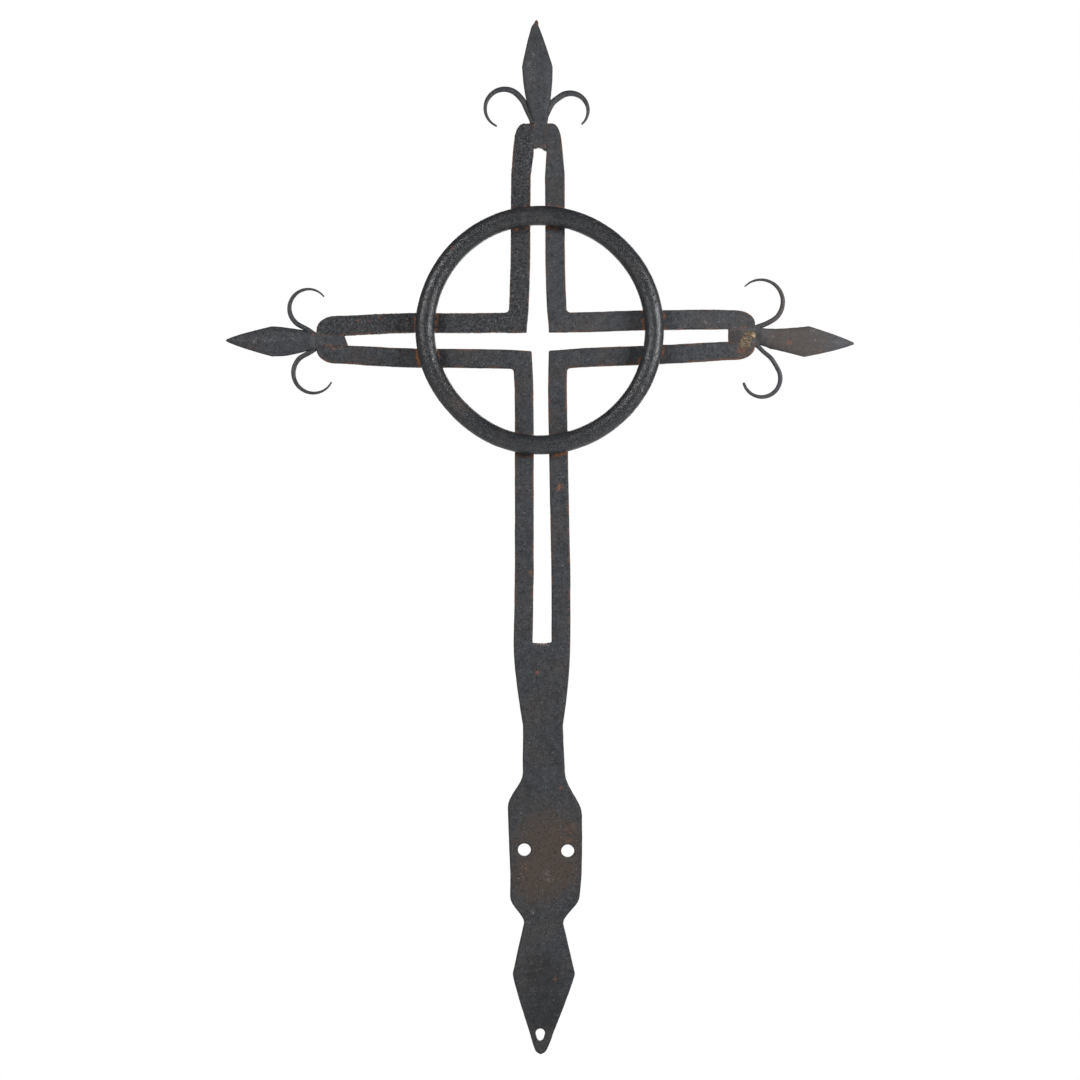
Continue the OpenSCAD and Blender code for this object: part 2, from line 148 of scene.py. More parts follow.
# The scrolls, in millimetres outwards from the shoulders of their arm and across it:
# arm, side across the arm, welded root, centre and radius of the curl, the angles at
# which the curl starts and ends, the thickness of the wire at its root and its tip, and
# how far the scroll stands past the one in the model, outwards and to its side.
SCROLLS = {
    "top_left_scroll": (
        "top", -1, ((-0.4, -3.5), (2.8, -4), (7.4, -6.2), (11.8, -8.3), (15.9, -10.2)),
        (11.1, -24.5), 14.2, 46, -156, 4.7, 1.5, (0.9, 0.5)),
    "top_right_scroll": (
        "top", 1, ((-0.4, 3.6), (2.8, 4.1), (7.4, 6.3), (11.8, 8.3), (16.2, 11.3)),
        (9.6, 24), 12.9, -28, 140, 4.9, 1.5, (0.8, 0.4)),
    "left_upper_scroll": (
        "left", 1, ((-0.4, 3.2), (2, 4.1), (6.5, 7.4)),
        (6.1, 23.3), 14.2, -58, 142, 3.8, 1.2, (0, 0.1)),
    "left_lower_scroll": (
        "left", -1, ((-0.4, -4.4), (1.6, -6.3), (6, -9.2)),
        (2.5, -23.9), 14.9, 50, -152, 3.8, 1.3, (0, 0.3)),
    "right_upper_scroll": (
        "right", 1, ((-1.2, 4.2), (1.8, 5.2), (8.8, 7.7)),
        (5, 24), 16.3, -50, 136, 3.8, 1.2, (0, 1.3)),
    "right_lower_scroll": (
        "right", -1, ((-1, -4.4), (1.4, -6.8), (6.6, -12.1), (12.2, -16.8)),
        (5.2, -31.6), 13.7, 30, -165, 3.3, 2.2, (0, 0.3)),
}
CURL_POINTS = 12
WIRE_SIDES = 14
STEPS_BETWEEN_POINTS = 3
# How much thicker than its taper a scroll is halfway along
BELLY = 0.18


# ---- sizes and colours ----------------------------------------------------------------

class CrossSizes(PropertyGroup):
    """How the iron was worked."""

    bar_mesh: FloatProperty(
        name="Bar mesh", description="Size of the mesh that the two upper bars are given",
        default=0.6 * MM, min=0.5 * MM, subtype="DISTANCE", unit="LENGTH")
    tang_mesh: FloatProperty(
        name="Tang mesh", description="Size of the mesh that the tang and its legs are given",
        default=0.78 * MM, min=0.75 * MM, subtype="DISTANCE", unit="LENGTH")
    fine_mesh: FloatProperty(
        name="Spearhead mesh", description="Size of the mesh that the spearheads are given",
        default=0.5 * MM, min=0.3 * MM, subtype="DISTANCE", unit="LENGTH")
    dent_width: FloatProperty(
        name="Dent width", description="Width of the hammer's dents",
        default=15 * MM, subtype="DISTANCE", unit="LENGTH")
    dent_depth: FloatProperty(
        name="Dent depth", description="Depth of the hammer's dents",
        default=0.34 * MM, subtype="DISTANCE", unit="LENGTH")
    pit_width: FloatProperty(
        name="Pit width", description="Width of the scale's pits",
        default=2 * MM, subtype="DISTANCE", unit="LENGTH")
    pit_depth: FloatProperty(
        name="Pit depth", description="Depth of the scale's pits",
        default=0.2 * MM, subtype="DISTANCE", unit="LENGTH")
    ring_land: FloatProperty(
        name="Ring seat", description="Depth of the flat on the ring's back",
        default=0.6 * MM, subtype="DISTANCE", unit="LENGTH")
    ridge_height: FloatProperty(
        name="Ridge", description="How far the ridge of a spearhead stands up",
        default=0.8 * MM, subtype="DISTANCE", unit="LENGTH")
    weld_growth: FloatProperty(
        name="Weld", description="How much wider the tongues are welded into the bars",
        default=0.9 * MM, subtype="DISTANCE", unit="LENGTH")
    viewing_distance: FloatProperty(
        name="Viewing distance", description="Distance of the camera in front of the bars",
        default=1.4, subtype="DISTANCE", unit="LENGTH")
    view_width: FloatProperty(
        name="View width", description="Width that the camera takes in at the bars",
        default=0.7948, subtype="DISTANCE", unit="LENGTH")


class CrossColours(PropertyGroup):
    """The colours of the iron, the rust and the brass."""

    iron_dark: FloatVectorProperty(
        name="Dark iron", description="Colour of the deepest scale",
        default=(0.016, 0.017, 0.0195), subtype="COLOR", min=0, max=1)
    iron_light: FloatVectorProperty(
        name="Light iron", description="Colour of the rubbed scale",
        default=(0.058, 0.06, 0.066), subtype="COLOR", min=0, max=1)
    # Colour of the painted glints, also used for the rubbed places
    glint_and_rub_colour: FloatVectorProperty(
        name="Glints and rubs", description="Colour of the bright specks and scuffs",
        default=(0.34, 0.35, 0.37), subtype="COLOR", min=0, max=1)
    brown_scale: FloatVectorProperty(
        name="Brown scale", description="Colour of the thin brown film",
        default=(0.066, 0.046, 0.034), subtype="COLOR", min=0, max=1)
    rust: FloatVectorProperty(
        name="Rust", description="Colour of the orange rust in the joints",
        default=(0.3, 0.105, 0.035), subtype="COLOR", min=0, max=1)
    brass: FloatVectorProperty(
        name="Brass", description="Colour of the brazing brass",
        default=(0.25, 0.185, 0.1), subtype="COLOR", min=0, max=1)
    floor: FloatVectorProperty(
        name="Floor", description="Colour of the floor",
        default=(0.9, 0.9, 0.9), subtype="COLOR", min=0, max=1)


# ---- working by hand ------------------------------------------------------------------

def put_down():
    """Leaves edit mode and deselects everything."""
    if bpy.context.object and bpy.context.object.mode != "OBJECT":
        bpy.ops.object.mode_set(mode="OBJECT")
    bpy.ops.object.select_all(action="DESELECT")


def pick_up(piece):
    """Makes one piece the only one that the operators act on."""
    put_down()
    piece.select_set(True)
    bpy.context.view_layer.objects.active = piece


def select_points(piece, chosen):
    """Selects, in edit mode, the vertices whose place passes a test."""
    shape = bmesh.from_edit_mesh(piece.data)
    bpy.ops.mesh.select_all(action="DESELECT")
    for point in shape.verts:
        point.select = chosen(point.co)
    shape.select_flush_mode()
    bmesh.update_edit_mesh(piece.data)


def drag(piece, chosen, move, reach, falloff="SMOOTH"):
    """Moves the chosen vertices, and those within reach of them less and less."""
    pick_up(piece)
    bpy.ops.object.mode_set(mode="EDIT")
    select_points(piece, chosen)
    bpy.ops.transform.translate(
        value=move, use_proportional_edit=True,
        proportional_edit_falloff=falloff, proportional_size=reach)
    bpy.ops.object.mode_set(mode="OBJECT")


def close_to(place, reach):
    """A test for the vertices within reach of a place."""
    return lambda point: (point - place).length < reach


def widen(piece, chosen, growth, reach):
    """Makes the chosen part wider by an amount along each axis, about its own middle."""
    places = [point.co for point in piece.data.vertices if chosen(point.co)]
    low = Vector([min(place[axis] for place in places) for axis in range(3)])
    high = Vector([max(place[axis] for place in places) for axis in range(3)])
    share = [1 + more / (far - near) for more, near, far in zip(growth, low, high)]
    pick_up(piece)
    bpy.ops.object.mode_set(mode="EDIT")
    select_points(piece, chosen)
    bpy.ops.transform.resize(
        value=share, center_override=(low + high) / 2, use_proportional_edit=True,
        proportional_edit_falloff="SMOOTH", proportional_size=reach)
    bpy.ops.object.mode_set(mode="OBJECT")


def merged_copy(node, name):
    """A new piece that starts as a copy of a CAD node, its loose triangles joined."""
    piece = bpy.data.objects.new(name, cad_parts[node].data.copy())
    bpy.context.collection.objects.link(piece)
    piece.data.materials.clear()
    pick_up(piece)
    bpy.ops.object.mode_set(mode="EDIT")
    bpy.ops.mesh.select_all(action="SELECT")
    bpy.ops.mesh.remove_doubles(threshold=0.01 * MM)
    bpy.ops.object.mode_set(mode="OBJECT")
    return piece


def apply_modifier(piece, kind, **settings):
    """Adds a modifier with its settings, and applies it."""
    pick_up(piece)
    modifier = piece.modifiers.new(kind.title(), kind)
    for setting, value in settings.items():
        setattr(modifier, setting, value)
    bpy.ops.object.modifier_apply(modifier=modifier.name)


def round_edges(piece, mesh_size, passes):
    """Gives a piece an even mesh with softly rounded edges."""
    apply_modifier(piece, "REMESH", mode="VOXEL", voxel_size=mesh_size)
    apply_modifier(piece, "SMOOTH", factor=0.5, iterations=passes)
    apply_modifier(piece, "DISPLACE", strength=0.2 * MM, mid_level=0)


def hammer(piece, width, depth):
    """Sinks and raises the surface in soft dents of one width."""
    dents = bpy.data.textures.new(piece.name + "_dents", "CLOUDS")
    dents.noise_scale = width
    dents.noise_depth = 1
    apply_modifier(piece, "DISPLACE", texture=dents, texture_coords="LOCAL",
                   strength=depth, mid_level=0.55)


def forge_surface(piece, sizes, share=1.0):
    """Leaves the marks of the hammer and the pits of the scale on a piece."""
    hammer(piece, sizes.dent_width, sizes.dent_depth * share)
    hammer(piece, sizes.pit_width, sizes.pit_depth * share)


def hand_over(piece, node, material):
    """Lets a finished piece stand for its CAD node."""
    pick_up(piece)
    bpy.ops.object.transform_apply(location=True, rotation=True, scale=True)
    bpy.ops.object.shade_smooth()
    piece.data.materials.clear()
    piece.data.materials.append(material)
    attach(piece, "root")
    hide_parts(node)


# ---- materials ------------------------------------------------------------------------

class Shading:
    """A material under construction, with short names for the nodes that it is made of."""

    def __init__(self, name, seed=0):
        self.material = bpy.data.materials.new(name)
        self.material.use_nodes = True
        self.tree = self.material.node_tree
        self.tree.nodes.clear()
        coordinates = self.tree.nodes.new("ShaderNodeTexCoord")
        self.place = self.vector("SCALE", coordinates.outputs["Object"], Scale=1 / MM)
        self.grain_place = self.vector("ADD", self.place, (seed * 37.0, seed * 11.0, 0))
        axes = self.add("SeparateXYZ", Vector=self.place)
        self.x, self.y, self.z = axes.outputs
        self.flat = self.add("CombineXYZ", X=self.x, Z=self.z).outputs[0]

    def add(self, kind, settings=None, **inputs):
        made = self.tree.nodes.new("ShaderNode" + kind)
        for setting, value in (settings or {}).items():
            setattr(made, setting, value)
        for socket, value in inputs.items():
            self.feed(made.inputs[socket.replace("_", " ")], value)
        return made

    def feed(self, socket, value):
        if isinstance(value, bpy.types.NodeSocket):
            self.tree.links.new(value, socket)
        else:
            socket.default_value = value

    def vector(self, operation, first, second=None, **inputs):
        made = self.add("VectorMath", {"operation": operation}, **inputs)
        self.feed(made.inputs[0], first)
        if second is not None:
            self.feed(made.inputs[1], second)
        return made.outputs["Value" if operation in ("DISTANCE", "LENGTH") else "Vector"]

    def maths(self, operation, first, second=0.0, clamp=False):
        made = self.add("Math", {"operation": operation, "use_clamp": clamp})
        self.feed(made.inputs[0], first)
        self.feed(made.inputs[1], second)
        return made.outputs[0]

    def noise(self, width, detail=3.0, roughness=0.6):
        """Noise from 0 to 1 whose lumps are about that many millimetres wide."""
        return self.add("TexNoise", Vector=self.grain_place, Scale=1 / width,
                        Detail=detail, Roughness=roughness).outputs["Fac"]

    def ramp(self, value, low, high):
        """0 at low, 1 at high and smooth between them; low may be the higher."""
        made = self.add("MapRange", {"interpolation_type": "SMOOTHSTEP"}, Value=value)
        turned = low > high
        self.feed(made.inputs["From Min"], high if turned else low)
        self.feed(made.inputs["From Max"], low if turned else high)
        self.feed(made.inputs["To Min"], 1.0 if turned else 0.0)
        self.feed(made.inputs["To Max"], 0.0 if turned else 1.0)
        return made.outputs["Result"]

    def times(self, *values):
        result = values[0]
        for value in values[1:]:
            result = self.maths("MULTIPLY", result, value)
        return result

    def most(self, values):
        result = values[0]
        for value in values[1:]:
            result = self.maths("MAXIMUM", result, value)
        return result

    def blend(self, share, under, over):
        made = self.add("Mix", {"data_type": "RGBA"})
        self.feed(made.inputs[0], share)
        self.feed(made.inputs[6], under)
        self.feed(made.inputs[7], over)
        return made.outputs[2]

    def patch(self, x, z, reach, ragged):
        """A soft patch round a place on the front or back, with a ragged rim."""
        away = self.vector("DISTANCE", self.flat, (x, 0.0, z))
        away = self.maths("ADD", away, self.times(ragged, reach * 1.2))
        return self.ramp(away, reach * 1.8, reach * 0.9)

    def finish(self, colour, roughness, height, bump_depth, metallic, shine):
        """Joins colour, roughness and height into the surface."""
        bump = self.add("Bump", Height=height, Strength=1.0, Distance=bump_depth)
        surface = self.add("BsdfPrincipled", Base_Color=colour, Roughness=roughness,
                           Metallic=metallic, Specular_IOR_Level=shine,
                           Normal=bump.outputs[0])
        output = self.tree.nodes.new("ShaderNodeOutputMaterial")
        self.tree.links.new(surface.outputs[0], output.inputs[0])
        return self.material


def solid(colour):
    """A colour property as a node takes it."""
    return (*colour, 1.0)


def ring_seam(shading):
    """The rust that runs out of the joint between the ring and the bars under it."""
    low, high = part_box("ring")
    centre = (low + high) / (2 * MM)
    outer = (high.x - low.x) / (2 * MM)
    bar = (high.y - low.y) / MM
    away = shading.vector("DISTANCE", shading.flat, (centre.x, 0.0, centre.z))
    from_middle = shading.maths("ABSOLUTE", shading.maths("SUBTRACT", away, outer - bar / 2))
    aside = shading.maths("SUBTRACT", from_middle, bar / 2)
    front = shading.ramp(shading.y, SEAM_BACK, SEAM_FRONT)
    band = shading.ramp(aside, 3, 0.5)
    broken = shading.ramp(shading.noise(5, 3), 0.42, 0.62)
    return shading.times(band, front, broken)


def forged_iron(name, colours, seed, brown, lightness, gloss, pitting, edge_rust,
                glints=1.0, seam=False, rust_at=(), rubs_and_glints_at=(), brown_at=(), dark_at=(),
                stain=0.9):
    """Black scale on forged iron, with pits, brown film and rust, painted glints, and painted
    shade on its edges.

    brown, lightness, gloss, pitting and edge_rust say how much of each the piece has, and
    glints how many painted glints its colour gets. Most lie between 0 and 1. seam adds the
    rust that runs out beside the ring. rust_at holds (x, z, reach) in millimetres.
    rubs_and_glints_at holds the same for lighter places, partly rubbed scale and partly
    painted glints and highlights, brown_at for places with more of the brown film, as strong
    as stain, and dark_at for darker places, partly heavier scale and partly painted shade.
    """
    iron = Shading(name, seed)
    broad = iron.noise(22, 3)
    mottle = iron.noise(4.2, 5, 0.74)
    grain = iron.noise(0.95, 3, 0.75)
    ragged = iron.noise(4.5, 4, 0.7)
    fine = iron.noise(1.6, 4, 0.75)
    pits = iron.ramp(iron.noise(1.5, 4, 0.75), 0.37 + 0.1 * pitting, 0.3 + 0.06 * pitting)
    edge_sharpness = iron.add("NewGeometry").outputs["Pointiness"]
    edge = iron.ramp(edge_sharpness, 0.515, 0.555)

    shade = iron.maths("ADD", iron.times(mottle, 0.45), iron.times(grain, 0.55))
    low = 0.3 + 0.16 * (0.5 - lightness)
    shade = iron.ramp(shade, low + 0.03, low + 0.36)
    colour = iron.blend(shade, solid(colours.iron_dark), solid(colours.iron_light))
    browned = [iron.times(iron.patch(x, z, reach, ragged), stain) for x, z, reach in brown_at]
    film = iron.times(iron.ramp(broad, 0.45, 0.65), brown)
    film = iron.times(iron.most([film, *browned]), iron.ramp(fine, 0.2, 0.6))
    colour = iron.blend(film, colour, solid(colours.brown_scale))
    # Darkening towards the heaviest scale: real scale in the pits, painted shade along the edges,
    # and the dark places, which at the right spearhead's neck are painted shade.
    scale_and_shade = [iron.times(iron.patch(x, z, reach, ragged), 0.5) for x, z, reach in dark_at]
    scale_and_shade = iron.most([iron.times(pits, 0.3 + 0.4 * pitting), iron.times(edge, 0.6), *scale_and_shade])
    colour = iron.blend(scale_and_shade, colour, solid(DARK_SCALE_AND_SHADE))

    # Painted glints: bright specks on the faces and the edges, and the lighter places, partly
    # rubbed scale and partly painted glints and highlights, all mixed towards the glint colour.
    specks = iron.times(iron.ramp(iron.noise(0.9, 2, 0.5), 0.64, 0.72),
                        iron.ramp(ragged, 0.42, 0.6), 0.6 * glints)
    painted_edge_glints = iron.times(edge, iron.ramp(iron.noise(1.3, 2), 0.6, 0.68), 0.4 * glints)
    rubbed = [iron.times(iron.patch(x, z, reach, ragged), iron.ramp(grain, 0.53, 0.64), 0.8)
              for x, z, reach in rubs_and_glints_at]
    bright = iron.most([specks, painted_edge_glints, *rubbed])
    colour = iron.blend(iron.times(bright, 0.6), colour, solid(colours.glint_and_rub_colour))

    above_tang = iron.ramp(iron.z, EDGE_RUST_STARTS, EDGE_RUST_FULL)
    thin_edges = iron.times(edge, iron.ramp(iron.noise(11, 3), 0.46, 0.56), edge_rust, above_tang)
    rusty = [iron.times(iron.patch(x, z, reach, ragged), iron.ramp(mottle, 0.42, 0.64), 0.6)
             for x, z, reach in rust_at]
    if seam:
        rusty.append(ring_seam(iron))
    rust = iron.most([thin_edges, *rusty])
    rust_tone = iron.blend(iron.ramp(grain, 0.3, 0.6), solid(colours.brown_scale),
                           solid(colours.rust))
    colour = iron.blend(iron.times(rust, 0.85), colour, rust_tone)

    roughness = iron.maths("ADD", 0.5 - 0.2 * gloss, iron.times(mottle, 0.2))
    roughness = iron.maths("ADD", roughness, iron.times(iron.most([rust, film]), 0.3), clamp=True)
    roughness = iron.maths("SUBTRACT", roughness, iron.times(bright, 0.15), clamp=True)
    height = iron.maths("ADD", iron.times(mottle, 0.5), iron.times(grain, 0.5))
    height = iron.maths("SUBTRACT", height, iron.times(pits, 0.5))
    shine = 0.18 + 0.24 * gloss
    sparkle = iron.ramp(iron.noise(1.1, 2, 0.6), 0.46, 0.62)
    glitter = iron.times(sparkle, 0.6 * gloss * shine)
    glitter = iron.maths("ADD", glitter, shine * (1 - 0.25 * gloss))
    return iron.finish(colour, roughness, height, 0.4 * MM, 0.0, glitter)


def brazing_brass(colours):
    """Run brass, golden on its crests, and dark with flux in its pits."""
    brass = Shading("brazing_brass", 9)
    lumps = brass.noise(1.6, 4, 0.65)
    grain = brass.noise(0.5, 3, 0.6)
    tarnish = brass.ramp(lumps, 0.58, 0.4)
    gold = brass.ramp(grain, 0.3, 0.7)
    gold = brass.blend(gold, solid(colours.brown_scale), solid(colours.brass))
    colour = brass.blend(brass.times(tarnish, 0.85), gold, solid(colours.brown_scale))
    roughness = brass.maths("ADD", 0.34, brass.times(tarnish, 0.3))
    height = brass.maths("ADD", lumps, brass.times(grain, 0.3))
    return brass.finish(colour, roughness, height, 0.5 * MM, 0.5, 0.5)


# ---- the pieces -----------------------------------------------------------------------

def flat_bar(node, sizes, roughness):
    """A flat bar with its edges rounded and its faces hammered."""
    piece = merged_copy(node, node.replace("bar", "flat_bar"))
    round_edges(piece, sizes.bar_mesh, 2)
    hammer(piece, sizes.dent_width, sizes.dent_depth)
    hammer(piece, sizes.pit_width, sizes.pit_depth * roughness)
    return piece


def ragged_slit_foot(piece):
    """Raises the burr that the chisel left where it stopped in the tang."""
    x, z = SLIT_FOOT
    foot = Vector((x * MM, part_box("tang_fork")[0].y, z * MM))
    for across, along, out, reach in BURR:
        place = foot + Vector((across * MM, 0, 0))
        drag(piece, close_to(place, 1.6 * MM), (0, out * MM, along * MM), reach * MM)


def beside(x, z, reach):
    """A test for the vertices on both faces within reach of a place, in millimetres."""
    return lambda point: math.hypot(point.x - x * MM, point.z - z * MM) < reach * MM


def worn_point(piece):
    """Rounds the foot's point like a pointed arch, and opens the hole above it."""
    for side in (-1, 1):
        for middle, aside, z, held, push, reach in POINT_PUSHES:
            drag(piece, beside(middle + side * aside, z, held), (side * push * MM, 0, 0),
                 reach * MM)
    growth = HOLE_GROWTH * MM
    widen(piece, beside(*HOLE_MIDDLE, HOLE_RIM), (growth, 0, growth), 2 * MM)


class CROSS_OT_flat_bars(Operator):
    """Forges the two upper bars and the tang with its two legs"""

    bl_idname = "iron_cross.flat_bars"
    bl_label = "Bars and Tang"

    def execute(self, context):
        sizes, colours = context.scene.cross_sizes, context.scene.cross_colours
        left_iron = forged_iron(
            "upper_left_bar_iron", colours, seed=1, brown=0.15, lightness=0.56, gloss=0.5,
            pitting=1.6, edge_rust=0.9, glints=1.8, seam=True,
            rust_at=((-138, 391, 2.4), (-130, 391, 2), (-122, 392, 2), (-11, 404, 3)),
            # The lighter places along the slit edge paint glints.
            rubs_and_glints_at=((-118, 378, 6), (-132, 377, 4), (-104, 377, 4)))
        hand_over(flat_bar("upper_left_bar", sizes, 2.4), "upper_left_bar",
                  left_iron)
        right_iron = forged_iron(
            "upper_right_bar_iron", colours, seed=2, brown=0.25, lightness=0.54, gloss=0.3,
            pitting=0.4, edge_rust=0.8, glints=1, seam=True,
            rust_at=((2, 466, 2.4), (3, 452, 2), (146, 384, 3)),
            rubs_and_glints_at=((118, 389, 2), (127, 390, 2)))
        hand_over(flat_bar("upper_right_bar", sizes, 0.9), "upper_right_bar",
                  right_iron)
        tang = merged_copy("tang_fork", "tang_and_legs")
        round_edges(tang, sizes.tang_mesh, 2)
        ragged_slit_foot(tang)
        worn_point(tang)
        forge_surface(tang, sizes)
        iron = forged_iron(
            "tang_iron", colours, seed=3, brown=0.25, lightness=0.42, gloss=0.3,
            pitting=0.8, edge_rust=0.7, glints=1.3, seam=True,
            rust_at=((11, 46, 2), (-16, -12, 3), (18, 16, 4), (16, 8, 3),
                     (6.7, -94, 2), (-7, 131, 2), (-11, 205, 2), (9, 268, 4), (11, 300, 3),
                     (-104, 366, 2), (-156, 371, 3), (-151, 372, 2.4), (-128, 362, 3),
                     (-90, 361, 3), (144, 370, 4)),
            # The lighter places at the slit's foot paint the highlight on its burr, and those
            # along the left leg paint glints.
            rubs_and_glints_at=((0, -18, 4), (3, -21, 3), (-9.8, -44.6, 2.4), (-12.5, -52.8, 2.4),
                       (-7.4, 151.6, 2), (-4.6, 151.3, 2), (-1.8, 151.5, 2),
                       (1, 151.8, 2), (-150, 369, 2), (-128, 371, 2), (-112, 367, 2),
                       (-98, 370, 2)),
            brown_at=((2, 4, 32), (-6, -18, 26), (10, -16, 18), (146, 368, 8)),
            dark_at=((0, -118, 24), (-2, -92, 20)))
        hand_over(tang, "tang_fork", iron)
        return {"FINISHED"}


def seat_flat(piece, height):
    """Cuts the back of the ring flat at a height along Y, and closes it."""
    pick_up(piece)
    bpy.ops.object.mode_set(mode="EDIT")
    bpy.ops.mesh.select_all(action="SELECT")
    bpy.ops.mesh.bisect(plane_co=(0, height, 0), plane_no=(0, 1, 0), clear_outer=True)
    shape = bmesh.from_edit_mesh(piece.data)
    bpy.ops.mesh.select_all(action="DESELECT")
    for edge in shape.edges:
        edge.select = edge.is_boundary
    shape.select_flush_mode()
    bpy.ops.mesh.bridge_edge_loops()
    bpy.ops.mesh.select_all(action="SELECT")
    bpy.ops.mesh.normals_make_consistent(inside=False)
    bpy.ops.object.mode_set(mode="OBJECT")


class CROSS_OT_ring(Operator):
    """Bends the round bar into the ring that is laid on the crossing"""

    bl_idname = "iron_cross.ring"
    bl_label = "Ring"

    def execute(self, context):
        sizes, colours = context.scene.cross_sizes, context.scene.cross_colours
        low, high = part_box("ring")
        centre = (low + high) / 2
        bar_radius = (high.y - low.y + sizes.ring_land) / 2
        middle_radius = (high.x - low.x) / 2 - bar_radius
        put_down()
        bpy.ops.mesh.primitive_torus_add(
            location=(centre.x, low.y + bar_radius, centre.z), rotation=(math.pi / 2, 0, 0),
            major_radius=middle_radius, minor_radius=bar_radius,
            major_segments=RING_STEPS, minor_segments=RING_BAR_STEPS)
        piece = bpy.context.object
        piece.name = "round_ring"
        bpy.ops.object.transform_apply(location=True, rotation=True, scale=True)
        seat_flat(piece, high.y)
        apply_modifier(piece, "SUBSURF", levels=1, render_levels=1)
        # The ring is a little flat at its lower left.
        flat_place = centre + middle_radius * Vector((-0.75, 0, -0.66))
        drag(piece, close_to(flat_place, 9 * MM), (0.9 * MM, 0, 0.8 * MM), 55 * MM)
        hammer(piece, 2.2 * sizes.dent_width, 0.9 * sizes.dent_depth)
        forge_surface(piece, sizes, 0.8)
        hammer(piece, 0.6 * sizes.pit_width, 0.6 * sizes.pit_depth)
        iron = forged_iron(
            "ring_iron", colours, seed=4, brown=0.1, lightness=-0.2, gloss=1.35,
            pitting=0.8, edge_rust=0, glints=1.4,
            rust_at=((-68, 442, 2), (-20, 308, 2)), brown_at=((-64, 328, 10),),
            stain=0.4)
        hand_over(piece, "ring", iron)
        return {"FINISHED"}


def blade_copy(node, name, sizes):
    """A spearhead with its edges softened, ready for its ridge and dents."""
    piece = merged_copy(node, name)
    round_edges(piece, sizes.fine_mesh, 2)
    return piece


def spread_neck(piece, middle, below, above):
    """Fills the corners between a level stem and its shoulders, as the weld does."""
    for side, growth in ((-1, below), (1, above)):
        corner = middle + UP * side * NECK_HALF * MM
        drag(piece, lambda point: (point.z - corner.z) * side > -1.2 * MM
             and abs(point.x - corner.x) < 1.6 * MM,
             UP * side * growth * MM, 3.4 * MM)


def raise_ridge(piece, start, end, sizes):
    """Raises the ridge of a blade along a line down its front."""
    along = end - start
    front = (start.y + end.y) / 2

    def on_ridge(point):
        share = (point - start).dot(along) / along.length_squared
        nearest = start + along * share
        aside = Vector((point.x - nearest.x, 0, point.z - nearest.z)).length
        return 0 < share < 1 and aside < 0.5 * MM and point.y < front + 2 * MM

    drag(piece, on_ridge, (0, -sizes.ridge_height, 0), 6 * MM, "SHARP")


